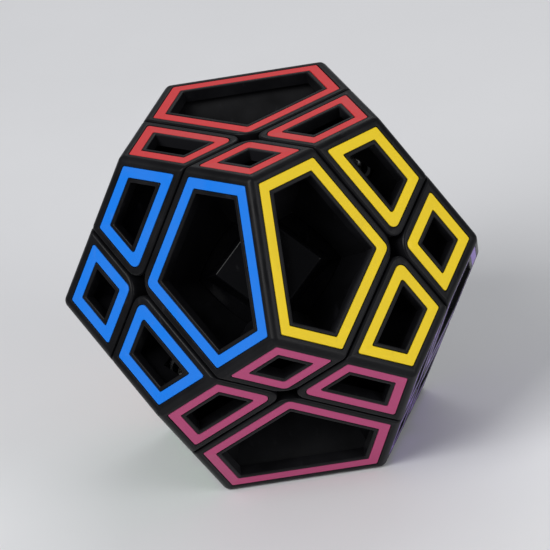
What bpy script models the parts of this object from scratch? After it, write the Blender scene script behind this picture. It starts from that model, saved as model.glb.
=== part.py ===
"""Dodecahedral twisty puzzle with open window frames, cut by four planes through its centre.

Everything is modelled in the puzzle's own frame, whose axes run through six opposite pairs of edges, and
hangs on one empty at the centre, which stands the puzzle on a face. Metres, +Z up.

Fourteen pieces cover the puzzle: eight corners and six centre pieces. Four of the corners are held by a
screw, a washer and a spring on the arms of the core; the feet of those corners hold down the centre
pieces, whose own feet hold down the other four corners. Each piece is a cap, which is a window frame with
side walls and ribs, on a base, which is its floor and foot.
"""

import math

import bmesh
import bpy
from mathutils import Vector

MM = 0.001
PHI = (1 + math.sqrt(5)) / 2

# The outside
ACROSS_FLATS = 70.0 * MM
FACE_DISTANCE = ACROSS_FLATS / 2
STAND_TILT = math.atan2(PHI, 1)
PIECE_GAP = 0.36 * MM
STAR_ROUNDING = 1.9 * MM
STAR_SEGMENTS = 3
EDGE_ROUNDING = 0.5 * MM
EDGE_SEGMENTS = 1

# The caps: window frames with side walls, and a rib under each edge between two windows
SKIN = 2.4 * MM
WALL = 1.6 * MM
RIB = 1.4 * MM
WINDOW_INSET = 4.6 * MM
CAP_RIM_RADIUS = 22.3 * MM
CAP_START = 12.0 * MM
HOLLOW_START = 6.0 * MM
CUT_OVERRUN = 1.0 * MM

# The bases: a spherical floor, and a foot that reaches under the neighbouring pieces
FLOOR_TOP = 22.0 * MM
FLOOR_BOTTOM = 20.3 * MM
FOOT_TOP = 20.0 * MM
FOOT_BOTTOM = 16.0 * MM
STEP_STAGGER = 0.07 * MM
FOOT_REACH = math.radians(7)
BOSS_TOP = 24.0 * MM
BOSS_FOOT = 17.0 * MM
BOSS_SLOPE = 0.3
CORNER_BOSS_WIDTH = 3.6 * MM
CENTRE_BOSS_WIDTH = 7.4 * MM

# The spring mounting in each of the four held corners
TUBE_RADIUS = 5.0 * MM
TUBE_TOP = 32.0 * MM
TUBE_ROOM_RADIUS = 5.4 * MM
TUBE_ROOM_TOP = 33.6 * MM
SEAT_HEIGHT = 21.2 * MM
SEAT_RADIUS = 3.8 * MM
SCREW_HOLE_RADIUS = 1.75 * MM
SCREW_RADIUS = 1.45 * MM
SCREW_TIP = 7.5 * MM
SCREW_HEAD_RADIUS = 2.75 * MM
SCREW_HEAD_HEIGHT = 2.0 * MM
SCREW_HEAD_STRAIGHT = 0.6
SCREW_HEAD_FLAT = 0.7
RECESS_LENGTH = 3.2 * MM
RECESS_WIDTH = 0.7 * MM
RECESS_DEPTH = 1.1 * MM
WASHER_RADIUS = 3.5 * MM
WASHER_THICKNESS = 0.8 * MM
REST_GAP = 0.3 * MM
SPRING_RADIUS = 2.95 * MM
SPRING_WIRE = 0.7 * MM
SPRING_LENGTH = 8.1 * MM
SPRING_TURNS = 4.5
SPRING_POINTS_PER_TURN = 12
WIRE_ROUNDNESS = 2

# The core
CORE_RADIUS = 9.0 * MM
ARM_RADIUS = 3.6 * MM
ARM_END = 15.15 * MM
ARM_HOLE_BOTTOM = 6.5 * MM

BALL_SEGMENTS = 32
TURN_STEPS = 48
SMALL_TURN_STEPS = 24
FAR = 60.0 * MM
WELD_DISTANCE = 0.006 * MM
SHARP_ANGLE = math.radians(30)

SPRING_FOOT = SEAT_HEIGHT + REST_GAP
WASHER_FOOT = SPRING_FOOT + SPRING_LENGTH + REST_GAP
HEAD_FOOT = WASHER_FOOT + WASHER_THICKNESS + REST_GAP
TUBE_ROOM = [(0, 0), (TUBE_ROOM_RADIUS, 0), (TUBE_ROOM_RADIUS, TUBE_ROOM_TOP), (0, TUBE_ROOM_TOP)]

# The balls' poles keep clear of the turning axes and of the middles of the pieces
BALL_POLE = Vector((1, 2, 3.5)).normalized()

# The four turning axes run out of the four held corners
AXES = [Vector(corner).normalized() for corner in ((1, 1, 1), (1, -1, -1), (-1, 1, -1), (-1, -1, 1))]
HELD_CORNERS = {
    (0,): "corner_right_top_front",
    (1,): "corner_right_bottom_back",
    (2,): "corner_left_top_back",
    (3,): "corner_left_bottom_front",
}
LOOSE_CORNERS = {
    (0, 1, 2): "corner_right_top_back",
    (0, 1, 3): "corner_right_bottom_front",
    (0, 2, 3): "corner_left_top_front",
    (1, 2, 3): "corner_left_bottom_back",
}
CENTRES = {
    (0, 1): "centre_right",
    (2, 3): "centre_left",
    (0, 2): "centre_top",
    (1, 3): "centre_bottom",
    (0, 3): "centre_front",
    (1, 2): "centre_back",
}


def face_normals():
    normals = []
    for short in (-1, 1):
        for long in (-PHI, PHI):
            normals.append(Vector((short, 0, long)).normalized())
            normals.append(Vector((0, long, short)).normalized())
            normals.append(Vector((long, short, 0)).normalized())
    return normals


def clear_scene():
    for thing in list(bpy.data.objects):
        bpy.data.objects.remove(thing, do_unlink=True)


def new_collection(name):
    collection = bpy.data.collections.new(name)
    bpy.context.scene.collection.children.link(collection)
    return collection


def finish(name, colour, roughness, metallic=0.0):
    material = bpy.data.materials.new(name)
    material.use_nodes = True
    shader = material.node_tree.nodes["Principled BSDF"]
    shader.inputs["Base Color"].default_value = (*colour, 1)
    shader.inputs["Roughness"].default_value = roughness
    shader.inputs["Metallic"].default_value = metallic
    material.diffuse_color = (*colour, 1)
    return material


def add_object(name, data, collection, axis=None):
    """Links an object to a collection and hangs it on the centre, with its +Z along axis if one is given."""
    thing = bpy.data.objects.new(name, data)
    collection.objects.link(thing)
    thing.parent = centre
    if axis is not None:
        thing.rotation_mode = "QUATERNION"
        thing.rotation_quaternion = axis.to_track_quat("Z", "Y")
    if collection is cutters:
        thing.hide_render = True
        thing.display_type = "WIRE"
    return thing


def boolean(thing, operation, other):
    modifier = thing.modifiers.new(f"{operation.lower()} {other.name}", "BOOLEAN")
    modifier.operation = operation
    modifier.solver = "EXACT"
    modifier.object = other


def weld(thing):
    """Merges the doubled corners that crossing cuts leave behind."""
    modifier = thing.modifiers.new("weld", "WELD")
    modifier.merge_threshold = WELD_DISTANCE


def trim(mesh, normal, distance):
    """Takes away what lies past the plane at distance along the unit vector normal, and closes the cut."""
    everything = mesh.verts[:] + mesh.edges[:] + mesh.faces[:]
    cut = bmesh.ops.bisect_plane(
        mesh, geom=everything, dist=1e-8, plane_co=normal * distance, plane_no=normal, clear_outer=True
    )
    rim = [part for part in cut["geom_cut"] if isinstance(part, bmesh.types.BMEdge)]
    if rim:
        bmesh.ops.holes_fill(mesh, edges=rim)


def trimmed_cube(planes):
    mesh = bmesh.new()
    bmesh.ops.create_cube(mesh, size=4 * FAR)
    for normal, distance in planes:
        trim(mesh, normal, distance)
    bmesh.ops.recalc_face_normals(mesh, faces=mesh.faces)
    return mesh


def settle(thing):
    """Keeps the finished shape as a plain mesh, smooth where it is round and sharp at its corners."""
    bpy.context.view_layer.update()
    evaluated = thing.evaluated_get(bpy.context.evaluated_depsgraph_get())
    data = bpy.data.meshes.new_from_object(evaluated)
    data.shade_smooth()
    data.set_sharp_from_angle(angle=SHARP_ANGLE)
    thing.modifiers.clear()
    thing.data = data


def as_mesh(name, mesh):
    data = bpy.data.meshes.new(name)
    mesh.to_mesh(data)
    mesh.free()
    return data


def turned(name, profile, steps, collection, axis, closed=False):
    """A solid turned about axis from (radius, height) points, which go up the outside from the bottom."""
    data = bpy.data.meshes.new(name)
    count = len(profile)
    edges = [(i, i + 1) for i in range(count - 1)]
    if closed:
        edges.append((count - 1, 0))
    data.from_pydata([(radius, 0, height) for radius, height in profile], edges, [])
    thing = add_object(name, data, collection, axis)
    screw = thing.modifiers.new("turn", "SCREW")
    screw.steps = steps
    screw.render_steps = steps
    screw.use_merge_vertices = True
    screw.merge_threshold = 1e-6
    screw.use_normal_calculate = True
    screw.use_normal_flip = True
    return thing


def ball(name, radius, collection):
    mesh = bmesh.new()
    bmesh.ops.create_uvsphere(mesh, u_segments=BALL_SEGMENTS, v_segments=BALL_SEGMENTS // 2, radius=radius)
    return add_object(name, as_mesh(name, mesh), collection, BALL_POLE)


def piece_direction(near):
    total = Vector((0, 0, 0))
    for i in near:
        total += AXES[i]
    return total.normalized()


def piece_faces(near):
    """The normals of the puzzle's faces that the piece shows: three on a corner, four on a centre piece."""
    direction = piece_direction(near)
    return [normal for normal in face_normals() if normal.dot(direction) > 0.5]


def side_planes(near, inset):
    """The piece's cut planes, moved inward by inset. The piece lies in the halves of the axes in near."""
    planes = []
    for i, axis in enumerate(AXES):
        outward = -axis if i in near else axis
        planes.append((outward, -inset))
    return planes


def facet_edges(near, face):
    """In the plane of face, each edge of the piece's facet, as its outward direction and its distance."""
    bounds = [(normal, FACE_DISTANCE) for normal in piece_faces(near) if 0.4 < normal.dot(face) < 0.5]
    bounds += [(outward, 0.0) for outward, _ in side_planes(near, 0) if abs(outward.dot(face)) < 0.5]
    edges = []
    for normal, distance in bounds:
        lean = normal.dot(face)
        across = normal - lean * face
        edges.append((across.normalized(), (distance - lean * FACE_DISTANCE) / across.length))
    return edges


def one_for_each_face(near, planes_at):
    """One mesh that holds, for each face of the piece, the solid inside the planes that planes_at gives."""
    whole = bmesh.new()
    for face in piece_faces(near):
        solid = as_mesh("solid", trimmed_cube(planes_at(near, face)))
        whole.from_mesh(solid)
        bpy.data.meshes.remove(solid)
    return whole


def window_planes(near, face):
    """A straight-sided plug through the skin, inside the facet's edges."""
    planes = [(across, distance - WINDOW_INSET) for across, distance in facet_edges(near, face)]
    planes.append((face, FACE_DISTANCE + CUT_OVERRUN))
    planes.append((-face, SKIN + CUT_OVERRUN - FACE_DISTANCE))
    return planes


def is_cut_side(face):
    return any(abs(face.normal.dot(axis)) > 0.999 for axis in AXES)


def is_outside(face):
    return any(face.normal.dot(normal) > 0.999 for normal in face_normals())


def cap_block(near):
    """The piece's outer block: its faces, its cut sides, the rounding at the star holes and on the edges."""
    planes = [(normal, FACE_DISTANCE) for normal in piece_faces(near)]
    planes += side_planes(near, PIECE_GAP / 2)
    planes.append((-piece_direction(near), -CAP_START))
    block = trimmed_cube(planes)
    block.normal_update()
    radial = [edge for edge in block.edges if all(is_cut_side(face) for face in edge.link_faces)]
    bmesh.ops.bevel(
        block, geom=radial, offset=STAR_ROUNDING, segments=STAR_SEGMENTS, profile=0.5, affect="EDGES"
    )
    block.normal_update()
    outer = [edge for edge in block.edges if any(is_outside(face) for face in edge.link_faces)]
    bmesh.ops.bevel(
        block, geom=outer, offset=EDGE_ROUNDING, segments=EDGE_SEGMENTS, profile=0.5, affect="EDGES"
    )
    bmesh.ops.recalc_face_normals(block, faces=block.faces)
    return block


def pocket_planes(near, face):
    """The hollow behind one facet, between the side walls and the ribs, which all run towards the centre."""
    planes = [(face, FACE_DISTANCE - SKIN)]
    planes += side_planes(near, PIECE_GAP / 2 + WALL)
    planes.append((-piece_direction(near), -HOLLOW_START))
    for neighbour in piece_faces(near):
        if 0.4 < neighbour.dot(face) < 0.5:
            planes.append(((neighbour - face).normalized(), -RIB / 2))
    return planes


def boss_block(near, width, room):
    """A blunt pyramid whose sides lie along the piece's cut sides, widened all round by room."""
    direction = piece_direction(near)
    planes = [(direction, BOSS_TOP + room), (-direction, room - BOSS_FOOT)]
    for outward, _ in side_planes(near, 0):
        level = outward - outward.dot(direction) * direction
        if level.length > 0.5:
            level.normalize()
            slope = (level + BOSS_SLOPE * direction).normalized()
            planes.append((slope, slope.dot(level * width + direction * BOSS_TOP) + room))
    return trimmed_cube(planes)


def boss_width(near):
    return CENTRE_BOSS_WIDTH if len(near) == 2 else CORNER_BOSS_WIDTH


def make_cap(piece, near):
    cap = add_object(f"{piece}_cap", as_mesh(piece, cap_block(near)), parts)
    cap.data.materials.append(shell_plastic)
    pockets = as_mesh(piece, one_for_each_face(near, pocket_planes))
    windows = as_mesh(piece, one_for_each_face(near, window_planes))
    boolean(cap, "DIFFERENCE", add_object(f"{piece}_pockets", pockets, cutters))
    boolean(cap, "DIFFERENCE", add_object(f"{piece}_windows", windows, cutters))
    boolean(cap, "DIFFERENCE", rim_ball)
    if len(near) == 1:
        room = turned(f"{piece}_tube_room", TUBE_ROOM, TURN_STEPS // 2, cutters, AXES[near[0]])
    else:
        boss = as_mesh(piece, boss_block(near, boss_width(near), REST_GAP))
        room = add_object(f"{piece}_boss_room", boss, cutters)
    boolean(cap, "DIFFERENCE", room)
    weld(cap)


def mechanism_cutter(i, near_half):
    """Takes away one side of axis i's sliding surface: a plane outside, and a wide cone under the floor."""
    side = 1 if near_half else -1
    half_gap = -side * PIECE_GAP / 2
    step = FLOOR_BOTTOM + i * STEP_STAGGER if near_half else FOOT_TOP - i * STEP_STAGGER
    gap_angle = PIECE_GAP / 2 / FOOT_BOTTOM
    cone_angle = math.pi / 2 + FOOT_REACH + side * gap_angle
    surface = [
        (0, 0),
        (step * math.sin(cone_angle), step * math.cos(cone_angle)),
        (step, half_gap),
        (FAR, half_gap),
    ]
    if near_half:
        profile = surface + [(FAR, FAR), (0, FAR)]
    else:
        profile = [(0, -FAR), (FAR, -FAR)] + surface[::-1]
    name = f"{'near' if near_half else 'far'}_half_{i}"
    return turned(name, profile, TURN_STEPS, cutters, AXES[i])


def make_base(piece, near):
    base = ball(f"{piece}_base", FLOOR_TOP, parts)
    base.data.materials.append(base_plastic)
    if len(near) > 1:
        boss = as_mesh(piece, boss_block(near, boss_width(near), 0))
        boolean(base, "UNION", add_object(f"{piece}_boss", boss, cutters))
    boolean(base, "DIFFERENCE", foot_ball)
    for i in range(len(AXES)):
        boolean(base, "DIFFERENCE", far_halves[i] if i in near else near_halves[i])
    if len(near) == 1:
        add_spring_tube(base, near[0])
    weld(base)


def add_spring_tube(base, i):
    """The tube that holds corner i's spring, with the seat at its bottom and the screw's hole through it."""
    tube_profile = [(0, FLOOR_BOTTOM + REST_GAP), (TUBE_RADIUS, FLOOR_BOTTOM + REST_GAP)]
    tube_profile += [(TUBE_RADIUS, TUBE_TOP), (0, TUBE_TOP)]
    tube = turned(f"{base.name}_tube", tube_profile, TURN_STEPS // 2, cutters, AXES[i])
    bore_profile = [(0, 0), (SCREW_HOLE_RADIUS, 0), (SCREW_HOLE_RADIUS, SEAT_HEIGHT)]
    bore_profile += [(SEAT_RADIUS, SEAT_HEIGHT), (SEAT_RADIUS, FAR), (0, FAR)]
    bore = turned(f"{base.name}_bore", bore_profile, TURN_STEPS // 2, cutters, AXES[i])
    boolean(base, "UNION", tube)
    boolean(base, "DIFFERENCE", bore)


def make_screw(name, i):
    profile = [(0, SCREW_TIP), (SCREW_RADIUS, SCREW_TIP), (SCREW_RADIUS, HEAD_FOOT)]
    profile.append((SCREW_HEAD_RADIUS, HEAD_FOOT))
    profile.append((SCREW_HEAD_RADIUS, HEAD_FOOT + SCREW_HEAD_STRAIGHT * SCREW_HEAD_HEIGHT))
    profile.append((SCREW_HEAD_FLAT * SCREW_HEAD_RADIUS, HEAD_FOOT + SCREW_HEAD_HEIGHT))
    profile.append((0, HEAD_FOOT + SCREW_HEAD_HEIGHT))
    screw = turned(name, profile, SMALL_TURN_STEPS, parts, AXES[i])
    screw.data.materials.append(steel)
    recess_top = HEAD_FOOT + SCREW_HEAD_HEIGHT
    for turn, (width, depth) in enumerate(((RECESS_LENGTH, RECESS_WIDTH), (RECESS_WIDTH, RECESS_LENGTH))):
        slot = bmesh.new()
        bmesh.ops.create_cube(slot, size=1)
        bmesh.ops.scale(slot, verts=slot.verts, vec=(width, depth, 2 * RECESS_DEPTH))
        bmesh.ops.translate(slot, verts=slot.verts, vec=(0, 0, recess_top))
        slot_name = f"{name}_recess_{turn}"
        boolean(screw, "DIFFERENCE", add_object(slot_name, as_mesh(slot_name, slot), cutters, AXES[i]))
    weld(screw)


def make_washer(name, i):
    top = WASHER_FOOT + WASHER_THICKNESS
    profile = [(SCREW_HOLE_RADIUS, WASHER_FOOT), (WASHER_RADIUS, WASHER_FOOT)]
    profile += [(WASHER_RADIUS, top), (SCREW_HOLE_RADIUS, top)]
    washer = turned(name, profile, SMALL_TURN_STEPS, parts, AXES[i], closed=True)
    washer.data.materials.append(steel)


def make_spring(name, i):
    curve = bpy.data.curves.new(name, "CURVE")
    curve.dimensions = "3D"
    curve.bevel_depth = SPRING_WIRE / 2
    curve.bevel_resolution = WIRE_ROUNDNESS
    curve.use_fill_caps = True
    coil = curve.splines.new("POLY")
    count = round(SPRING_TURNS * SPRING_POINTS_PER_TURN)
    coil.points.add(count)
    bottom = SPRING_FOOT + SPRING_WIRE / 2
    rise = SPRING_LENGTH - SPRING_WIRE
    for n, point in enumerate(coil.points):
        angle = 2 * math.pi * n / SPRING_POINTS_PER_TURN
        height = bottom + rise * n / count
        point.co = (SPRING_RADIUS * math.cos(angle), SPRING_RADIUS * math.sin(angle), height, 1)
    spring = add_object(name, curve, parts, AXES[i])
    spring.data.materials.append(spring_steel)


def make_core():
    core = ball("core", CORE_RADIUS, parts)
    core.data.materials.append(core_plastic)
    for i, axis in enumerate(AXES):
        arm_profile = [(0, 0), (ARM_RADIUS, 0), (ARM_RADIUS, ARM_END), (0, ARM_END)]
        boolean(core, "UNION", turned(f"arm_{i}", arm_profile, SMALL_TURN_STEPS, cutters, axis))
    for i, axis in enumerate(AXES):
        hole_profile = [(0, ARM_HOLE_BOTTOM), (SCREW_HOLE_RADIUS, ARM_HOLE_BOTTOM)]
        hole_profile += [(SCREW_HOLE_RADIUS, FAR), (0, FAR)]
        hole = turned(f"arm_hole_{i}", hole_profile, SMALL_TURN_STEPS, cutters, axis)
        boolean(core, "DIFFERENCE", hole)
    weld(core)


clear_scene()
parts = new_collection("dodecahedron_puzzle")
cutters = new_collection("cutters")

centre = bpy.data.objects.new("centre", None)
parts.objects.link(centre)
centre.location = (0, 0, FACE_DISTANCE)
centre.rotation_euler = (STAND_TILT, 0, 0)

shell_plastic = finish("shell_plastic", (0.012, 0.012, 0.014), 0.38)
base_plastic = finish("base_plastic", (0.008, 0.008, 0.009), 0.22)
core_plastic = finish("core_plastic", (0.05, 0.05, 0.055), 0.45)
steel = finish("steel", (0.56, 0.57, 0.58), 0.3, 1.0)
spring_steel = finish("spring_steel", (0.42, 0.43, 0.44), 0.25, 1.0)

rim_ball = ball("rim_ball", CAP_RIM_RADIUS, cutters)
foot_ball = ball("foot_ball", FOOT_BOTTOM, cutters)
near_halves = [mechanism_cutter(i, True) for i in range(len(AXES))]
far_halves = [mechanism_cutter(i, False) for i in range(len(AXES))]

make_core()
for near, piece in {**HELD_CORNERS, **LOOSE_CORNERS, **CENTRES}.items():
    make_cap(piece, near)
    make_base(piece, near)
for (i,), piece in HELD_CORNERS.items():
    place = piece.removeprefix("corner_")
    make_screw(f"screw_{place}", i)
    make_washer(f"washer_{place}", i)
    make_spring(f"spring_{place}", i)
for part in parts.objects:
    if part.type == "MESH":
        settle(part)
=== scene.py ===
"""The looks of the dodecahedral twisty puzzle: black moulded window frames with a coloured outline set into
every facet, glossy floors and spring mountings behind the windows, a plain studio and the camera.

Shapes are worked out in the puzzle's own frame, whose axes run through six opposite pairs of edges, and are
then tilted by STAND so that the puzzle rests on a face.
"""

import math

import bmesh
import bpy
from mathutils import Matrix, Quaternion, Vector


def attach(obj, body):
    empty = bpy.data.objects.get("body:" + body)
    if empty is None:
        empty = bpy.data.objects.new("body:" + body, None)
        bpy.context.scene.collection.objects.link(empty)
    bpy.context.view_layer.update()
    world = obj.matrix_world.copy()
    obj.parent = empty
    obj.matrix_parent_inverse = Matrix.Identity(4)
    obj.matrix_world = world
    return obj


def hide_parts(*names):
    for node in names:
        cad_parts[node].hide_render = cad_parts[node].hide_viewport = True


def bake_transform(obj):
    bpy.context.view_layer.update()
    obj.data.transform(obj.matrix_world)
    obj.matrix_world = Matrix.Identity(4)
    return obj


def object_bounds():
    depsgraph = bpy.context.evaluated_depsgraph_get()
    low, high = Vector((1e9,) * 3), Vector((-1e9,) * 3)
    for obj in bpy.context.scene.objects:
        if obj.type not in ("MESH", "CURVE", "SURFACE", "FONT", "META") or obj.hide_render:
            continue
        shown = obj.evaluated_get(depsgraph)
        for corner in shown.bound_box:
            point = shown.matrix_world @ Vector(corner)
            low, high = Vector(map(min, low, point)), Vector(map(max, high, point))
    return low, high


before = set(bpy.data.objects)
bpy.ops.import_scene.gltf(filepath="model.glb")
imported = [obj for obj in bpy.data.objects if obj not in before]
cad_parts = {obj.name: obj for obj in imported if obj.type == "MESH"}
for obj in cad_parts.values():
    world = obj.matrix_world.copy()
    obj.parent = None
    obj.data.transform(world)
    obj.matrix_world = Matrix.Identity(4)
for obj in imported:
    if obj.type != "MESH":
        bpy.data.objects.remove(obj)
cad_low, cad_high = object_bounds()

MM = 0.001
PHI = (1 + math.sqrt(5)) / 2

# The frame's own sizes: the puzzle stands on one face, with the opposite face on top
FACE_DISTANCE = (cad_high.z - cad_low.z) / 2
CENTRE = (cad_low + cad_high) / 2
STAND = Matrix.Translation(CENTRE) @ Matrix.Rotation(math.atan2(PHI, 1), 4, "X")

# The caps, as the CAD has them, but for the star-shaped holes' corners and the roundings that a mould gives
PIECE_GAP = 0.36 * MM
SKIN = 2.4 * MM
WALL = 1.6 * MM
RIB = 1.4 * MM
CAP_RIM_RADIUS = 22.3 * MM
CAP_START = 12.0 * MM
HOLLOW_START = 6.0 * MM
STAR_ROUNDING = 3.4 * MM
STAR_SEGMENTS = 7
EDGE_ROUNDING = 1.0 * MM
RIM_ROUNDING = 0.5 * MM
EDGE_SEGMENTS = 5

# The coloured outline of each facet, and the window inside it
OUTLINE_OUTSIDE = 1.65 * MM
OUTLINE_INSIDE = 3.7 * MM
OUTLINE_SINK = 0.05 * MM
OUTLINE_DEPTH = 0.6 * MM
OUTLINE_ROUNDING = 0.12 * MM
GROOVE_GAP = 0.1 * MM
WINDOW_INSET = 4.6 * MM
WINDOW_ROUNDING = 0.25 * MM
CUTTER_REACH = 1.0 * MM
STAR_RADIUS = 2.0 * MM
STAR_RADIUS_LOSS = 0.4
CORNER_RADIUS = 0.55 * MM
CORNER_RADIUS_LOSS = 0.08
CORNER_STEPS = 6
ROUNDING_STEPS = 3

# The bases, spring mountings and core, as the CAD has them
FLOOR_TOP = 22.0 * MM
FLOOR_BOTTOM = 20.3 * MM
FOOT_TOP = 20.0 * MM
FOOT_BOTTOM = 16.0 * MM
FOOT_REACH = math.radians(7)
STEP_STAGGER = 0.07 * MM
BOSS_TOP = 24.0 * MM
BOSS_FOOT = 17.0 * MM
BOSS_SLOPE = 0.3
CORNER_BOSS_WIDTH = 3.6 * MM
CENTRE_BOSS_WIDTH = 7.4 * MM
BOSS_ROUNDING = 0.35 * MM
BOSS_SEGMENTS = 3
TUBE_RADIUS = 5.0 * MM
TUBE_TOP = 32.0 * MM
TUBE_ROUNDING = 0.3 * MM
TUBE_ROOM_RADIUS = 5.4 * MM
TUBE_ROOM_TOP = 33.6 * MM
SEAT_HEIGHT = 21.2 * MM
SEAT_RADIUS = 3.8 * MM
SCREW_HOLE_RADIUS = 1.75 * MM
SCREW_RADIUS = 1.45 * MM
SCREW_TIP = 7.5 * MM
SCREW_TIP_RADIUS = 0.7 * SCREW_RADIUS
SCREW_HEAD_RADIUS = 2.75 * MM
SCREW_HEAD_HEIGHT = 2.0 * MM
SCREW_HEAD_SIDE = 0.45 * SCREW_HEAD_HEIGHT
SCREW_HEAD_FLAT = 0.35
SCREW_HEAD_STEPS = 6
SCREW_STEPS = 48
THREAD_PITCH = 0.8 * MM
THREAD_DEPTH = 0.2 * MM
THREAD_TOP = 15.0 * MM
RECESS_LENGTH = 3.2 * MM
RECESS_WIDTH = 0.7 * MM
RECESS_DEPTH = 1.1 * MM
WASHER_RADIUS = 3.5 * MM
WASHER_THICKNESS = 0.8 * MM
WASHER_ROUNDING = 0.12 * MM
WASHER_STEPS = 64
REST_GAP = 0.3 * MM
SPRING_RADIUS = 2.95 * MM
SPRING_WIRE = 0.7 * MM
SPRING_LENGTH = 8.1 * MM
SPRING_TURNS = 4.5
SPRING_FLATTENING = 0.09
COIL_STEPS = 28
WIRE_STEPS = 3
CORE_RADIUS = 9.0 * MM
ARM_RADIUS = 3.6 * MM
ARM_ROOT_RADIUS = 1.25 * ARM_RADIUS
ARM_ROOT_TOP = 0.95 * CORE_RADIUS
ARM_NECK = 1.1 * CORE_RADIUS
ARM_ROUNDING = 0.3 * MM
ARM_END = 15.15 * MM
ARM_HOLE_BOTTOM = 6.5 * MM

# How finely everything is made, how far a cutter reaches, and how near two points are taken as one
BALL_SEGMENTS = 64
TURN_STEPS = 96
FAR = 60.0 * MM
WELD_DISTANCE = 0.006 * MM
MERGE_DISTANCE = 0.0005 * MM
AXIS_DISTANCE = 0.001 * MM
PLANE_DISTANCE = 0.00001 * MM
SHARP_ANGLE = math.radians(38)

# The spring stands on the seat, the washer on the spring and the screw's head on the washer, with small gaps
SPRING_FOOT = SEAT_HEIGHT + REST_GAP
WASHER_FOOT = SPRING_FOOT + SPRING_LENGTH + REST_GAP
HEAD_FOOT = WASHER_FOOT + WASHER_THICKNESS + REST_GAP

# Colours of the outlines, linear, by the direction of the face
FACES = [
    ("red", (0, PHI, 1), (0.64, 0.030, 0.034)),
    ("blue", (-1, 0, PHI), (0.003, 0.19, 0.78)),
    ("yellow", (1, 0, PHI), (0.84, 0.60, 0.006)),
    ("pink", (0, -PHI, 1), (0.50, 0.065, 0.19)),
    ("lime", (PHI, 1, 0), (0.30, 0.58, 0.03)),
    ("cream", (-PHI, 1, 0), (0.74, 0.62, 0.38)),
    ("grey", (0, PHI, -1), (0.25, 0.26, 0.27)),
    ("sky_blue", (0, -PHI, -1), (0.06, 0.42, 0.72)),
    ("lavender", (PHI, -1, 0), (0.30, 0.19, 0.58)),
    ("white", (1, 0, -PHI), (0.78, 0.78, 0.76)),
    ("orange", (-1, 0, -PHI), (0.82, 0.19, 0.012)),
    ("green", (-PHI, -1, 0), (0.01, 0.27, 0.06)),
]
FACE_NORMALS = {name: Vector(direction).normalized() for name, direction, _ in FACES}

# The four turning axes run out of the four held corners
AXES = [Vector(corner).normalized() for corner in ((1, 1, 1), (1, -1, -1), (-1, 1, -1), (-1, -1, 1))]
HELD_CORNERS = {
    (0,): "corner_right_top_front",
    (1,): "corner_right_bottom_back",
    (2,): "corner_left_top_back",
    (3,): "corner_left_bottom_front",
}
LOOSE_CORNERS = {
    (0, 1, 2): "corner_right_top_back",
    (0, 1, 3): "corner_right_bottom_front",
    (0, 2, 3): "corner_left_top_front",
    (1, 2, 3): "corner_left_bottom_back",
}
CENTRES = {
    (0, 1): "centre_right",
    (2, 3): "centre_left",
    (0, 2): "centre_top",
    (1, 3): "centre_bottom",
    (0, 3): "centre_front",
    (1, 2): "centre_back",
}

# The pole of every ball, which lies on none of the cuts
BALL_POLE = Vector((1, 2, 3.5)).normalized()

# Products of unit directions, which tell apart the few angles between faces, cuts and pieces
NEIGHBOUR_PRODUCT = 1 / math.sqrt(5)
SHOWN_PRODUCT = 0.5
CROSSING_PRODUCT = 0.5
SAME_PRODUCT = 0.999
PRODUCT_TOLERANCE = 0.01
SIDEWAYS_LENGTH = 0.5

# The finishes. Noise scales are cells a metre, ranges are of the noise's value, and depths are of the bumps
CLOUD_SCALE = 160
CLOUD_ROUGHNESS_RANGE = (0.35, 0.65)
CLOUD_SHADE_RANGE = (0.3, 0.7)
CLOUD_SHADE = 0.5
SCRATCH_SCALE = 900
SCRATCH_STRETCH = (1, 0.06, 0.5)
SCRATCH_RANGE = (0.62, 0.72)
SCRATCH_ROUGHNESS = 0.12
SCRATCH_SHADE = 0.8
SCRATCH_HEIGHT = -0.5
# The pointiness over which convex edges get a painted highlight, lighter towards the second colour
PAINTED_EDGE_HIGHLIGHT_RANGE = (0.52, 0.6)
GRAIN_STRENGTH = 0.5
METAL_CLOUD_SCALE = 300
METAL_DULLING = 0.72
METAL_LINE_RANGE = (0.3, 0.7)
METAL_SMOOTHER = 0.08
METAL_ROUGHER = 0.12
METAL_LINE_STRENGTH = 0.4
METAL_LINE_DEPTH = 0.01 * MM
# An outline's second colour, reached by its clouds and scratches and by the painted highlight along its
# edges
MARK_AND_HIGHLIGHT_SHARE = 0.9
MARK_AND_HIGHLIGHT_LIGHTENING = 0.02

# The studio: each light's name, place from the object's middle, width and height, in metres, and watts
LIGHTS = [
    ("key_softbox", (-0.55, -0.55, 0.75), (0.6, 0.6), 8),
    ("fill_softbox", (0.75, -0.6, 0.35), (0.5, 0.7), 3.5),
    ("back_softbox", (0.2, 0.7, 0.7), (0.7, 0.35), 2),
]
WORLD_COLOUR = (0.9, 0.93, 1, 1)
WORLD_STRENGTH = 0.25
STUDIO_HALF_WIDTH = 3
PAPER_SCALE = 25
PAPER_COLOURS = ((0.78, 0.78, 0.79), (0.82, 0.82, 0.83))
PAPER_ROUGHNESS = (0.55, 0.65)

# The camera, as its bearing from the object's middle
CAMERA_AZIMUTH = math.radians(2.9)
CAMERA_ELEVATION = math.radians(27.25)
CAMERA_ROLL = math.radians(10.1)
CAMERA_DISTANCE = 0.853
CAMERA_LENS = 280
CAMERA_NEAR = 0.01


# Geometry of the pieces


def piece_direction(near):
    """The direction of the piece's middle. The piece lies in the halves of the axes in near."""
    total = Vector((0, 0, 0))
    for i in near:
        total += AXES[i]
    return total.normalized()


def piece_faces(near):
    """The names of the faces that the piece shows: three on a corner, four on a centre piece."""
    direction = piece_direction(near)
    return [name for name, normal in FACE_NORMALS.items() if normal.dot(direction) > SHOWN_PRODUCT]


def are_neighbours(one, other):
    return math.isclose(one.dot(other), NEIGHBOUR_PRODUCT, abs_tol=PRODUCT_TOLERANCE)


def side_planes(near, inset):
    """The piece's cut planes, moved inward by inset, each as an outward normal and a distance."""
    return [(-axis if i in near else axis, -inset) for i, axis in enumerate(AXES)]


def face_basis(face):
    across = face.orthogonal().normalized()
    return across, face.cross(across)


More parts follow.
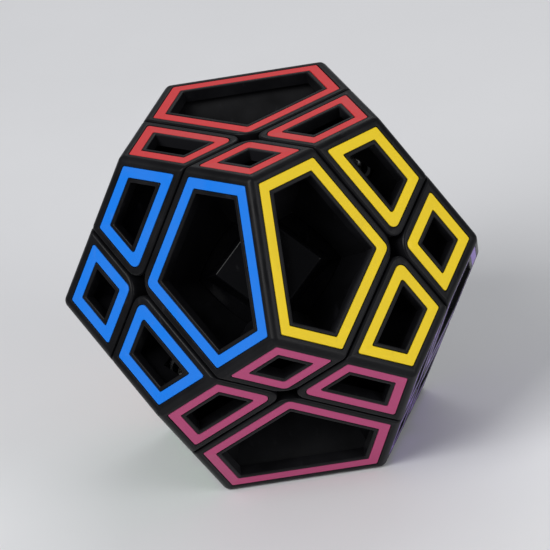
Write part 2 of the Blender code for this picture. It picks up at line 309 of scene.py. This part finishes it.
def facet_edges(near, face):
    """The facet's edges in order round the face, each as (outward x, outward y, distance, is it a cut)."""
    bounds = []
    for name in piece_faces(near):
        if are_neighbours(FACE_NORMALS[name], face):
            bounds.append((FACE_NORMALS[name], FACE_DISTANCE, False))
    for outward, _ in side_planes(near, 0):
        if abs(outward.dot(face)) < CROSSING_PRODUCT:
            bounds.append((outward, 0.0, True))
    right, up = face_basis(face)
    edges = []
    for normal, distance, is_cut in bounds:
        lean = normal.dot(face)
        flat = normal - lean * face
        edge_distance = (distance - lean * FACE_DISTANCE) / flat.length
        flat.normalize()
        edges.append((flat.dot(right), flat.dot(up), edge_distance, is_cut))
    return sorted(edges, key=lambda edge: math.atan2(edge[1], edge[0]))


def outline_points(near, face, inset, height):
    """The facet's outline moved inward by inset, with rounded corners, at height above the face."""
    edges = facet_edges(near, face)
    right, up = face_basis(face)
    points = []
    for first, second in zip(edges, edges[1:] + edges[:1]):
        if first[3] and second[3]:
            radius = STAR_RADIUS - STAR_RADIUS_LOSS * inset
        else:
            radius = CORNER_RADIUS - CORNER_RADIUS_LOSS * inset
        one = Vector(first[:2])
        two = Vector(second[:2])
        cross = one.x * two.y - one.y * two.x
        reach_one = first[2] - inset - radius
        reach_two = second[2] - inset - radius
        scaled_x = reach_one * two.y - reach_two * one.y
        scaled_y = reach_two * one.x - reach_one * two.x
        middle = Vector((scaled_x, scaled_y)) / cross
        turn = one.angle(two)
        start = math.atan2(one.y, one.x)
        for step in range(CORNER_STEPS + 1):
            angle = start + turn * step / CORNER_STEPS
            x = middle.x + radius * math.cos(angle)
            y = middle.y + radius * math.sin(angle)
            points.append(face * (FACE_DISTANCE + height) + right * x + up * y)
    return points


def swept_outline(near, face, profile, closed):
    """A solid whose (inset, height) profile follows the facet's outline.

    A closed profile gives a ring, and an open one gives a plug with a flat end above and below.
    """
    mesh = bmesh.new()
    rings = []
    for inset, height in profile:
        rings.append([mesh.verts.new(point) for point in outline_points(near, face, inset, height)])
    count = len(rings[0])
    following = rings[1:] + rings[:1] if closed else rings[1:]
    for ring, after in zip(rings, following):
        for i in range(count):
            j = (i + 1) % count
            mesh.faces.new((ring[i], ring[j], after[j], after[i]))
    if not closed:
        mesh.faces.new(rings[0])
        mesh.faces.new(rings[-1])
    bmesh.ops.recalc_face_normals(mesh, faces=mesh.faces)
    return mesh


def quarter_round(inset, height, radius, outward):
    """Points that round an edge at (inset, height), from radius below it to radius beside it."""
    points = []
    for step in range(ROUNDING_STEPS + 1):
        angle = math.pi / 2 * step / ROUNDING_STEPS
        beside = radius * (1 - math.cos(angle))
        below = radius * (1 - math.sin(angle))
        points.append((inset + outward * beside, height - below))
    return points


def trimmed_cube(planes):
    """What is left of a large cube inside all the planes, each given as an outward normal and a distance."""
    mesh = bmesh.new()
    bmesh.ops.create_cube(mesh, size=4 * FAR)
    for normal, distance in planes:
        everything = mesh.verts[:] + mesh.edges[:] + mesh.faces[:]
        cut = bmesh.ops.bisect_plane(
            mesh,
            geom=everything,
            dist=PLANE_DISTANCE,
            plane_co=normal * distance,
            plane_no=normal,
            clear_outer=True,
        )
        rim = [part for part in cut["geom_cut"] if isinstance(part, bmesh.types.BMEdge)]
        if rim:
            bmesh.ops.holes_fill(mesh, edges=rim)
    bmesh.ops.recalc_face_normals(mesh, faces=mesh.faces)
    return mesh


# Making objects


scratch = []


def scratch_object(name, mesh):
    """A working object in the puzzle's own frame, which is removed once all the pieces are made."""
    data = bpy.data.meshes.new(name)
    mesh.to_mesh(data)
    mesh.free()
    thing = bpy.data.objects.new(name, data)
    bpy.context.scene.collection.objects.link(thing)
    scratch.append(thing)
    return thing


def joined(name, meshes):
    """One working object made of several meshes that stay apart."""
    whole = bmesh.new()
    for mesh in meshes:
        data = bpy.data.meshes.new("part")
        mesh.to_mesh(data)
        mesh.free()
        whole.from_mesh(data)
        bpy.data.meshes.remove(data)
    return scratch_object(name, whole)


def aim(thing, axis):
    """Turns a thing made along z so that it lies along axis."""
    thing.rotation_mode = "QUATERNION"
    thing.rotation_quaternion = axis.to_track_quat("Z", "Y")
    return thing


def boolean(thing, operation, other):
    modifier = thing.modifiers.new(operation.lower(), "BOOLEAN")
    modifier.operation = operation
    modifier.solver = "EXACT"
    modifier.object = other


def cut_away(thing, cutters):
    """Takes all the cutters away at once. Triangles keep a face's holes open when points are merged."""
    group = bpy.data.collections.new(thing.name)
    for cutter in cutters:
        group.objects.link(cutter)
    modifier = thing.modifiers.new("cuts", "BOOLEAN")
    modifier.operation = "DIFFERENCE"
    modifier.solver = "MANIFOLD"
    modifier.operand_type = "COLLECTION"
    modifier.collection = group
    thing.modifiers.new("triangles", "TRIANGULATE")
    return group


def weld(thing):
    modifier = thing.modifiers.new("weld", "WELD")
    modifier.merge_threshold = WELD_DISTANCE


def turned(name, profile, axis, steps=TURN_STEPS, closed=False):
    """A solid turned about axis from (radius, height) points, which go up the outside from the bottom."""
    data = bpy.data.meshes.new(name)
    count = len(profile)
    edges = [(i, i + 1) for i in range(count - 1)]
    if closed:
        edges.append((count - 1, 0))
    data.from_pydata([(radius, 0, height) for radius, height in profile], edges, [])
    thing = bpy.data.objects.new(name, data)
    bpy.context.scene.collection.objects.link(thing)
    scratch.append(thing)
    screw = thing.modifiers.new("turn", "SCREW")
    screw.steps = steps
    screw.render_steps = steps
    screw.use_merge_vertices = True
    screw.merge_threshold = AXIS_DISTANCE
    screw.use_normal_calculate = True
    screw.use_normal_flip = True
    return aim(thing, axis)


def ball(name, radius):
    mesh = bmesh.new()
    bmesh.ops.create_uvsphere(mesh, u_segments=BALL_SEGMENTS, v_segments=BALL_SEGMENTS // 2, radius=radius)
    return aim(scratch_object(name, mesh), BALL_POLE)


def finished(name, thing, material, body, stands_for=None):
    """Freezes a working object into a piece of the standing puzzle, which rides on body if one is given."""
    bpy.context.view_layer.update()
    evaluated = thing.evaluated_get(bpy.context.evaluated_depsgraph_get())
    data = bpy.data.meshes.new_from_object(evaluated)
    mesh = bmesh.new()
    mesh.from_mesh(data)
    bmesh.ops.remove_doubles(mesh, verts=mesh.verts, dist=MERGE_DISTANCE)
    bmesh.ops.dissolve_degenerate(mesh, dist=MERGE_DISTANCE, edges=mesh.edges)
    bmesh.ops.recalc_face_normals(mesh, faces=mesh.faces)
    mesh.to_mesh(data)
    mesh.free()
    data.transform(STAND @ thing.matrix_world)
    data.name = name
    data.materials.clear()
    data.materials.append(material)
    data.shade_smooth()
    data.set_sharp_from_angle(angle=SHARP_ANGLE)
    piece = bpy.data.objects.new(name, data)
    bpy.context.scene.collection.objects.link(piece)
    normals = piece.modifiers.new("flat faces stay flat", "WEIGHTED_NORMAL")
    normals.keep_sharp = True
    if body:
        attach(piece, body)
    if stands_for:
        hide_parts(stands_for)
    return piece


def clear_scratch():
    for thing in scratch:
        bpy.data.objects.remove(thing, do_unlink=True)
    scratch.clear()


# Materials


def new_material(name):
    material = bpy.data.materials.new(name)
    material.use_nodes = True
    return material, material.node_tree, material.node_tree.nodes["Principled BSDF"]


def noise(tree, scale, detail, stretch=(1, 1, 1)):
    """Noise of about scale cells a metre, in the object's own coordinates."""
    place = tree.nodes.new("ShaderNodeTexCoord")
    mapping = tree.nodes.new("ShaderNodeMapping")
    mapping.inputs["Scale"].default_value = stretch
    texture = tree.nodes.new("ShaderNodeTexNoise")
    texture.inputs["Scale"].default_value = scale
    texture.inputs["Detail"].default_value = detail
    tree.links.new(place.outputs["Object"], mapping.inputs["Vector"])
    tree.links.new(mapping.outputs["Vector"], texture.inputs["Vector"])
    return texture.outputs["Fac"]


def mapped(tree, value, low, high, to_low, to_high):
    """The value, carried from the range low to high over to the range to_low to to_high, and kept in it."""
    node = tree.nodes.new("ShaderNodeMapRange")
    node.inputs["From Min"].default_value = low
    node.inputs["From Max"].default_value = high
    node.inputs["To Min"].default_value = to_low
    node.inputs["To Max"].default_value = to_high
    tree.links.new(value, node.inputs["Value"])
    return node.outputs["Result"]


def combined(tree, operation, first, second):
    node = tree.nodes.new("ShaderNodeMath")
    node.operation = operation
    tree.links.new(first, node.inputs[0])
    tree.links.new(second, node.inputs[1])
    return node.outputs["Value"]


def blended(tree, amount, first, second):
    """The first colour where amount is 0, the second where it is 1."""
    node = tree.nodes.new("ShaderNodeMix")
    node.data_type = "RGBA"
    tree.links.new(amount, node.inputs["Factor"])
    node.inputs["A"].default_value = (*first, 1)
    node.inputs["B"].default_value = (*second, 1)
    return node.outputs["Result"]


def bumped(tree, shader, height, strength, depth):
    bump = tree.nodes.new("ShaderNodeBump")
    bump.inputs["Strength"].default_value = strength
    bump.inputs["Distance"].default_value = depth
    tree.links.new(height, bump.inputs["Height"])
    tree.links.new(bump.outputs["Normal"], shader.inputs["Normal"])


def moulded_plastic(name, colour, marks_and_highlight_colour, roughness, spread, grain, grain_depth, gloss):
    """Moulded plastic with a fine grain, a cloudy gloss, faint scratches and a painted highlight that
    lightens its convex edges.
    """
    material, tree, shader = new_material(name)
    shader.inputs["Specular IOR Level"].default_value = gloss
    clouds = noise(tree, CLOUD_SCALE, 4)
    fine = noise(tree, grain, 2)
    scratches = noise(tree, SCRATCH_SCALE, 3, SCRATCH_STRETCH)
    pointiness = tree.nodes.new("ShaderNodeNewGeometry").outputs["Pointiness"]
    cloudy = mapped(tree, clouds, *CLOUD_ROUGHNESS_RANGE, roughness - spread, roughness + spread)
    scratch_roughness = mapped(tree, scratches, *SCRATCH_RANGE, 0, SCRATCH_ROUGHNESS)
    tree.links.new(combined(tree, "ADD", cloudy, scratch_roughness), shader.inputs["Roughness"])
    cloud_shade = mapped(tree, clouds, *CLOUD_SHADE_RANGE, 0, CLOUD_SHADE)
    scratch_shade = mapped(tree, scratches, *SCRATCH_RANGE, 0, SCRATCH_SHADE)
    # Convex edges, found by pointiness, are lightened as a painted highlight along the edges
    painted_edge_highlight = mapped(tree, pointiness, *PAINTED_EDGE_HIGHLIGHT_RANGE, 0, 1)
    # Clouds and scratches are the plastic's own marks; the edges added next are a painted highlight
    marks_and_painted_highlight = combined(tree, "MAXIMUM", cloud_shade, scratch_shade)
    marks_and_painted_highlight = combined(tree, "MAXIMUM", marks_and_painted_highlight, painted_edge_highlight)
    tree.links.new(blended(tree, marks_and_painted_highlight, colour, marks_and_highlight_colour), shader.inputs["Base Color"])
    scratch_height = mapped(tree, scratches, *SCRATCH_RANGE, 0, SCRATCH_HEIGHT)
    bumped(tree, shader, combined(tree, "ADD", fine, scratch_height), GRAIN_STRENGTH, grain_depth)
    return material


def metal(name, colour, roughness, scale, stretch):
    """Drawn or turned steel with fine lines and a slightly uneven gloss."""
    material, tree, shader = new_material(name)
    lines = noise(tree, scale, 4, stretch)
    clouds = noise(tree, METAL_CLOUD_SCALE, 3)
    shader.inputs["Metallic"].default_value = 1.0
    dull = tuple(METAL_DULLING * channel for channel in colour)
    tree.links.new(blended(tree, clouds, colour, dull), shader.inputs["Base Color"])
    uneven = mapped(tree, lines, *METAL_LINE_RANGE, roughness - METAL_SMOOTHER, roughness + METAL_ROUGHER)
    tree.links.new(uneven, shader.inputs["Roughness"])
    bumped(tree, shader, lines, METAL_LINE_STRENGTH, METAL_LINE_DEPTH)
    return material


def outline_material(name, colour):
    return moulded_plastic(
        f"outline_{name}",
        colour,
        marks_and_highlight_colour=tuple(MARK_AND_HIGHLIGHT_SHARE * channel + MARK_AND_HIGHLIGHT_LIGHTENING for channel in colour),
        roughness=0.42,
        spread=0.06,
        grain=5200,
        grain_depth=0.008 * MM,
        gloss=0.22,
    )


# The puzzle's pieces


def cap_block(near):
    """The piece's outer block. Its star holes' corners are rounded, its outer edges weighted for a bevel."""
    normals = [FACE_NORMALS[name] for name in piece_faces(near)]
    planes = [(normal, FACE_DISTANCE) for normal in normals]
    planes += side_planes(near, PIECE_GAP / 2)
    planes.append((-piece_direction(near), -CAP_START))
    block = trimmed_cube(planes)
    block.normal_update()

    def is_cut_side(face):
        return any(abs(face.normal.dot(axis)) > SAME_PRODUCT for axis in AXES)

    def is_outside(face):
        return any(face.normal.dot(normal) > SAME_PRODUCT for normal in normals)

    radial = [edge for edge in block.edges if all(is_cut_side(face) for face in edge.link_faces)]
    bmesh.ops.bevel(
        block, geom=radial, offset=STAR_ROUNDING, segments=STAR_SEGMENTS, profile=0.5, affect="EDGES"
    )
    block.normal_update()
    weights = block.edges.layers.float.new("bevel_weight_edge")
    for edge in block.edges:
        outside = sum(is_outside(face) for face in edge.link_faces)
        if outside == 2:
            edge[weights] = 1.0
        elif outside == 1:
            edge[weights] = RIM_ROUNDING / EDGE_ROUNDING
    bmesh.ops.recalc_face_normals(block, faces=block.faces)
    return block


def pocket_block(near, face):
    """The hollow behind one facet, between the side walls and the ribs, which all run towards the centre."""
    planes = [(face, FACE_DISTANCE - SKIN)]
    planes += side_planes(near, PIECE_GAP / 2 + WALL)
    planes.append((-piece_direction(near), -HOLLOW_START))
    for name in piece_faces(near):
        neighbour = FACE_NORMALS[name]
        if are_neighbours(neighbour, face):
            planes.append(((neighbour - face).normalized(), -RIB / 2))
    return trimmed_cube(planes)


def boss_block(near, room):
    """A blunt pyramid whose sides lie along the piece's cut sides, widened all round by room."""
    direction = piece_direction(near)
    width = CENTRE_BOSS_WIDTH if len(near) == 2 else CORNER_BOSS_WIDTH
    planes = [(direction, BOSS_TOP + room), (-direction, room - BOSS_FOOT)]
    for outward, _ in side_planes(near, 0):
        level = outward - outward.dot(direction) * direction
        if level.length > SIDEWAYS_LENGTH:
            level.normalize()
            slope = (level + BOSS_SLOPE * direction).normalized()
            planes.append((slope, slope.dot(level * width + direction * BOSS_TOP) + room))
    return trimmed_cube(planes)


def groove_profile():
    """The groove for an outline, deep enough for it and with rounded lips, closed above the face."""
    bottom = -OUTLINE_DEPTH - GROOVE_GAP
    outside = OUTLINE_OUTSIDE - GROOVE_GAP
    inside = OUTLINE_INSIDE + GROOVE_GAP
    outer_lip = quarter_round(outside, 0, OUTLINE_ROUNDING, -1)
    inner_lip = quarter_round(inside, 0, OUTLINE_ROUNDING, 1)
    profile = [(outside, bottom)] + outer_lip + [(outer_lip[-1][0], CUTTER_REACH)]
    profile += [(inner_lip[-1][0], CUTTER_REACH)] + inner_lip[::-1] + [(inside, bottom)]
    return profile


def window_profile():
    """The side of the plug that cuts a window through the skin, with a rounded lip."""
    lip = quarter_round(WINDOW_INSET, 0, WINDOW_ROUNDING, -1)
    return [(WINDOW_INSET, -SKIN - CUTTER_REACH)] + lip + [(lip[-1][0], CUTTER_REACH)]


def outline_profile():
    """The outline's own section: square below, with rounded upper edges."""
    top = -OUTLINE_SINK
    outer_edge = quarter_round(OUTLINE_OUTSIDE, top, OUTLINE_ROUNDING, 1)
    inner_edge = quarter_round(OUTLINE_INSIDE, top, OUTLINE_ROUNDING, -1)
    profile = [(OUTLINE_OUTSIDE, -OUTLINE_DEPTH)] + outer_edge + inner_edge[::-1]
    profile.append((OUTLINE_INSIDE, -OUTLINE_DEPTH))
    return profile


def make_cap(piece, near):
    cap = scratch_object(piece, cap_block(near))
    rounding = cap.modifiers.new("rounding", "BEVEL")
    rounding.limit_method = "WEIGHT"
    rounding.width = EDGE_ROUNDING
    rounding.segments = EDGE_SEGMENTS
    rounding.use_clamp_overlap = False
    faces = [FACE_NORMALS[name] for name in piece_faces(near)]
    cutters = [
        joined("pockets", [pocket_block(near, face) for face in faces]),
        joined("windows", [swept_outline(near, face, window_profile(), closed=False) for face in faces]),
        joined("grooves", [swept_outline(near, face, groove_profile(), closed=True) for face in faces]),
        rim_ball,
    ]
    if len(near) == 1:
        room = [(0, 0), (TUBE_ROOM_RADIUS, 0), (TUBE_ROOM_RADIUS, TUBE_ROOM_TOP), (0, TUBE_ROOM_TOP)]
        cutters.append(turned("tube_room", room, AXES[near[0]]))
    else:
        cutters.append(scratch_object("boss_room", boss_block(near, REST_GAP)))
    cuts = cut_away(cap, cutters)
    weld(cap)
    finished(f"{piece}_window_frame", cap, shell_plastic, piece, f"{piece}_cap")
    bpy.data.collections.remove(cuts)


def make_outlines(piece, near):
    for name in piece_faces(near):
        face = FACE_NORMALS[name]
        ring = swept_outline(near, face, outline_profile(), closed=True)
        outline = scratch_object(f"{piece}_{name}", ring)
        finished(f"{piece}_outline_{name}", outline, outline_plastics[name], piece)


def mechanism_cutter(i, near_half):
    """Takes away one side of axis i's sliding surface: a plane outside, and a wide cone under the floor."""
    side = 1 if near_half else -1
    half_gap = -side * PIECE_GAP / 2
    step = FLOOR_BOTTOM + i * STEP_STAGGER if near_half else FOOT_TOP - i * STEP_STAGGER
    gap_angle = PIECE_GAP / 2 / FOOT_BOTTOM
    cone_angle = math.pi / 2 + FOOT_REACH + side * gap_angle
    surface = [
        (0, 0),
        (step * math.sin(cone_angle), step * math.cos(cone_angle)),
        (step, half_gap),
        (FAR, half_gap),
    ]
    if near_half:
        profile = surface + [(FAR, FAR), (0, FAR)]
    else:
        profile = [(0, -FAR), (FAR, -FAR)] + surface[::-1]
    return turned(f"half_{i}_{near_half}", profile, AXES[i])


def make_base(piece, near):
    base = ball(piece, FLOOR_TOP)
    if len(near) > 1:
        boss = boss_block(near, 0)
        bmesh.ops.bevel(
            boss,
            geom=boss.edges[:],
            offset=BOSS_ROUNDING,
            segments=BOSS_SEGMENTS,
            profile=0.5,
            affect="EDGES",
        )
        boolean(base, "UNION", scratch_object("boss", boss))
    boolean(base, "DIFFERENCE", foot_ball)
    for i in range(len(AXES)):
        boolean(base, "DIFFERENCE", far_halves[i] if i in near else near_halves[i])
    if len(near) == 1:
        add_spring_tube(base, AXES[near[0]])
    weld(base)
    finished(f"{piece}_floor_and_foot", base, base_plastic, piece, f"{piece}_base")


def add_spring_tube(base, axis):
    """The tube that holds a held corner's spring, with the seat at its bottom and the screw's hole."""
    bottom = FLOOR_BOTTOM + REST_GAP
    lip = [(TUBE_RADIUS, TUBE_TOP - TUBE_ROUNDING), (TUBE_RADIUS - TUBE_ROUNDING, TUBE_TOP)]
    tube = turned("tube", [(0, bottom), (TUBE_RADIUS, bottom)] + lip + [(0, TUBE_TOP)], axis)
    mouth = [(SEAT_RADIUS, TUBE_TOP - TUBE_ROUNDING), (SEAT_RADIUS + TUBE_ROUNDING, TUBE_TOP)]
    bore_profile = [(0, 0), (SCREW_HOLE_RADIUS, 0), (SCREW_HOLE_RADIUS, SEAT_HEIGHT)]
    bore_profile += [(SEAT_RADIUS, SEAT_HEIGHT)] + mouth + [(SEAT_RADIUS + TUBE_ROUNDING, FAR), (0, FAR)]
    boolean(base, "UNION", tube)
    boolean(base, "DIFFERENCE", turned("bore", bore_profile, axis))


def make_screw(place, axis):
    """A pan-head screw whose thread lies inside the core's arm, with a cross recess in its head."""
    profile = [(0, SCREW_TIP), (SCREW_TIP_RADIUS, SCREW_TIP)]
    turns = int((THREAD_TOP - SCREW_TIP) / THREAD_PITCH)
    for turn in range(turns):
        root = SCREW_TIP + (turn + 0.25) * THREAD_PITCH
        profile.append((SCREW_RADIUS - THREAD_DEPTH, root))
        profile.append((SCREW_RADIUS, root + 0.5 * THREAD_PITCH))
    profile += [(SCREW_RADIUS, THREAD_TOP), (SCREW_RADIUS, HEAD_FOOT), (SCREW_HEAD_RADIUS, HEAD_FOOT)]
    head_top = HEAD_FOOT + SCREW_HEAD_HEIGHT
    dome_foot = HEAD_FOOT + SCREW_HEAD_SIDE
    for step in range(SCREW_HEAD_STEPS + 1):
        angle = math.pi / 2 * step / SCREW_HEAD_STEPS
        share = SCREW_HEAD_FLAT + (1 - SCREW_HEAD_FLAT) * math.cos(angle)
        profile.append((SCREW_HEAD_RADIUS * share, dome_foot + (head_top - dome_foot) * math.sin(angle)))
    profile.append((0, head_top))
    screw = turned(place, profile, axis, SCREW_STEPS)
    for width, depth in ((RECESS_LENGTH, RECESS_WIDTH), (RECESS_WIDTH, RECESS_LENGTH)):
        slot = bmesh.new()
        bmesh.ops.create_cube(slot, size=1)
        bmesh.ops.scale(slot, verts=slot.verts, vec=(width, depth, 2 * RECESS_DEPTH))
        bmesh.ops.translate(slot, verts=slot.verts, vec=(0, 0, head_top))
        boolean(screw, "DIFFERENCE", aim(scratch_object("recess", slot), axis))
    finished(f"{place}_pan_head_screw", screw, steel, "core", f"screw_{place}")


def make_washer(place, axis):
    """A flat washer. Each corner of its section is cut off by two points, in order round the section."""
    profile = []
    corners = ((SCREW_HOLE_RADIUS, 0), (WASHER_RADIUS, 0), (WASHER_RADIUS, 1), (SCREW_HOLE_RADIUS, 1))
    for radius, level in corners:
        inward = WASHER_ROUNDING if radius < WASHER_RADIUS else -WASHER_ROUNDING
        height = WASHER_FOOT + level * WASHER_THICKNESS
        toward = WASHER_ROUNDING if level == 0 else -WASHER_ROUNDING
        pair = [(radius, height + toward), (radius + inward, height)]
        profile += pair if (radius < WASHER_RADIUS) == (level == 0) else pair[::-1]
    washer = turned(place, profile, axis, WASHER_STEPS, closed=True)
    finished(f"{place}_flat_washer", washer, steel, f"spring_mount_{place}", f"washer_{place}")


def make_spring(place, axis):
    """A coil spring whose last turn at each end lies nearly flat."""
    curve = bpy.data.curves.new(place, "CURVE")
    curve.dimensions = "3D"
    curve.bevel_depth = SPRING_WIRE / 2
    curve.bevel_resolution = WIRE_STEPS
    curve.use_fill_caps = True
    coil = curve.splines.new("POLY")
    count = round(SPRING_TURNS * COIL_STEPS)
    coil.points.add(count)
    bottom = SPRING_FOOT + SPRING_WIRE / 2
    rise = SPRING_LENGTH - SPRING_WIRE
    for n, point in enumerate(coil.points):
        share = n / count
        angle = 2 * math.pi * SPRING_TURNS * share
        climb = share - SPRING_FLATTENING * math.sin(2 * math.pi * share)
        x = SPRING_RADIUS * math.cos(angle)
        y = SPRING_RADIUS * math.sin(angle)
        point.co = (x, y, bottom + rise * climb, 1)
    spring = bpy.data.objects.new(place, curve)
    bpy.context.scene.collection.objects.link(spring)
    scratch.append(spring)
    aim(spring, axis)
    piece = finished(f"{place}_coil_spring", spring, spring_steel, None, f"spring_{place}")
    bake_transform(piece)


def make_core():
    """The ball in the middle, with an arm out to each screw and a hole down each arm."""
    core = ball("core_ball", CORE_RADIUS)
    for axis in AXES:
        arm = [(0, 0), (ARM_ROOT_RADIUS, 0), (ARM_ROOT_RADIUS, ARM_ROOT_TOP)]
        arm += [(ARM_RADIUS, ARM_NECK), (ARM_RADIUS, ARM_END - ARM_ROUNDING)]
        arm += [(ARM_RADIUS - ARM_ROUNDING, ARM_END), (0, ARM_END)]
        boolean(core, "UNION", turned("arm", arm, axis))
    for axis in AXES:
        hole = [(0, ARM_HOLE_BOTTOM), (SCREW_HOLE_RADIUS, ARM_HOLE_BOTTOM)]
        hole += [(SCREW_HOLE_RADIUS, FAR), (0, FAR)]
        boolean(core, "DIFFERENCE", turned("hole", hole, axis))
    weld(core)
    finished("core_with_four_arms", core, core_plastic, "core", "core")


# The studio


def make_floor():
    mesh = bmesh.new()
    bmesh.ops.create_grid(mesh, x_segments=1, y_segments=1, size=STUDIO_HALF_WIDTH)
    bmesh.ops.translate(mesh, verts=mesh.verts, vec=(0, 0, cad_low.z))
    data = bpy.data.meshes.new("studio_floor")
    mesh.to_mesh(data)
    mesh.free()
    floor = bpy.data.objects.new("studio_floor", data)
    bpy.context.scene.collection.objects.link(floor)
    material, tree, shader = new_material("pale_floor")
    paper = noise(tree, PAPER_SCALE, 3)
    tree.links.new(blended(tree, paper, *PAPER_COLOURS), shader.inputs["Base Color"])
    tree.links.new(mapped(tree, paper, 0, 1, *PAPER_ROUGHNESS), shader.inputs["Roughness"])
    data.materials.append(material)


def add_light(name, place, size, power):
    light = bpy.data.lights.new(name, "AREA")
    light.shape = "RECTANGLE"
    light.size = size[0]
    light.size_y = size[1]
    light.energy = power
    lamp = bpy.data.objects.new(name, light)
    bpy.context.scene.collection.objects.link(lamp)
    lamp.location = CENTRE + Vector(place)
    lamp.rotation_euler = (CENTRE - lamp.location).to_track_quat("-Z", "Y").to_euler()


def light_studio():
    """Three soft lights and a dim sky. The Standard view shows the plastic's colours as they are."""
    world = bpy.data.worlds.new("studio")
    world.use_nodes = True
    world.node_tree.nodes["Background"].inputs["Color"].default_value = WORLD_COLOUR
    world.node_tree.nodes["Background"].inputs["Strength"].default_value = WORLD_STRENGTH
    bpy.context.scene.world = world
    bpy.context.scene.view_settings.view_transform = "Standard"
    for name, place, size, power in LIGHTS:
        add_light(name, place, size, power)


def place_camera():
    level = math.cos(CAMERA_ELEVATION)
    east = math.sin(CAMERA_AZIMUTH) * level
    north = -math.cos(CAMERA_AZIMUTH) * level
    away = Vector((east, north, math.sin(CAMERA_ELEVATION)))
    data = bpy.data.cameras.new("camera")
    data.lens = CAMERA_LENS
    data.clip_start = CAMERA_NEAR
    camera = bpy.data.objects.new("camera", data)
    bpy.context.scene.collection.objects.link(camera)
    camera.location = CENTRE + CAMERA_DISTANCE * away
    upright = (-away).to_track_quat("-Z", "Y")
    rolled = upright @ Quaternion((0, 0, 1), -CAMERA_ROLL)
    camera.rotation_euler = rolled.to_euler()
    bpy.context.scene.camera = camera


place_camera()
make_floor()
light_studio()

# Each plastic's second colour is that of its clouds and scratches, and of the painted highlight along its
# convex edges
shell_plastic = moulded_plastic(
    "black_shell",
    colour=(0.0035, 0.0035, 0.004),
    marks_and_highlight_colour=(0.012, 0.012, 0.014),
    roughness=0.33,
    spread=0.05,
    grain=6500,
    grain_depth=0.012 * MM,
    gloss=0.12,
)
# The inner parts are black plastic, and their black is darker than the shell's: the extra darkness is
# painted shade deep behind the windows
base_plastic = moulded_plastic(
    "black_inner",
    colour=(0.0015, 0.0015, 0.002),
    marks_and_highlight_colour=(0.006, 0.006, 0.007),
    roughness=0.16,
    spread=0.05,
    grain=3500,
    grain_depth=0.006 * MM,
    gloss=0.12,
)
core_plastic = moulded_plastic(
    "grey_core",
    colour=(0.05, 0.05, 0.055),
    marks_and_highlight_colour=(0.09, 0.09, 0.095),
    roughness=0.42,
    spread=0.06,
    grain=5000,
    grain_depth=0.012 * MM,
    gloss=0.5,
)
steel = metal("zinc_plated_steel", (0.60, 0.60, 0.58), roughness=0.26, scale=2500, stretch=(1, 1, 4))
spring_steel = metal("drawn_spring_wire", (0.50, 0.50, 0.50), roughness=0.24, scale=3500, stretch=(1, 1, 6))
outline_plastics = {name: outline_material(name, colour) for name, _, colour in FACES}

rim_ball = ball("rim_ball", CAP_RIM_RADIUS)
foot_ball = ball("foot_ball", FOOT_BOTTOM)
near_halves = [mechanism_cutter(i, True) for i in range(len(AXES))]
far_halves = [mechanism_cutter(i, False) for i in range(len(AXES))]

for near, piece in {**HELD_CORNERS, **LOOSE_CORNERS, **CENTRES}.items():
    make_cap(piece, near)
    make_outlines(piece, near)
    make_base(piece, near)
for (i,), piece in HELD_CORNERS.items():
    place = piece.removeprefix("corner_")
    make_screw(place, AXES[i])
    make_washer(place, AXES[i])
    make_spring(place, AXES[i])
make_core()
clear_scratch()
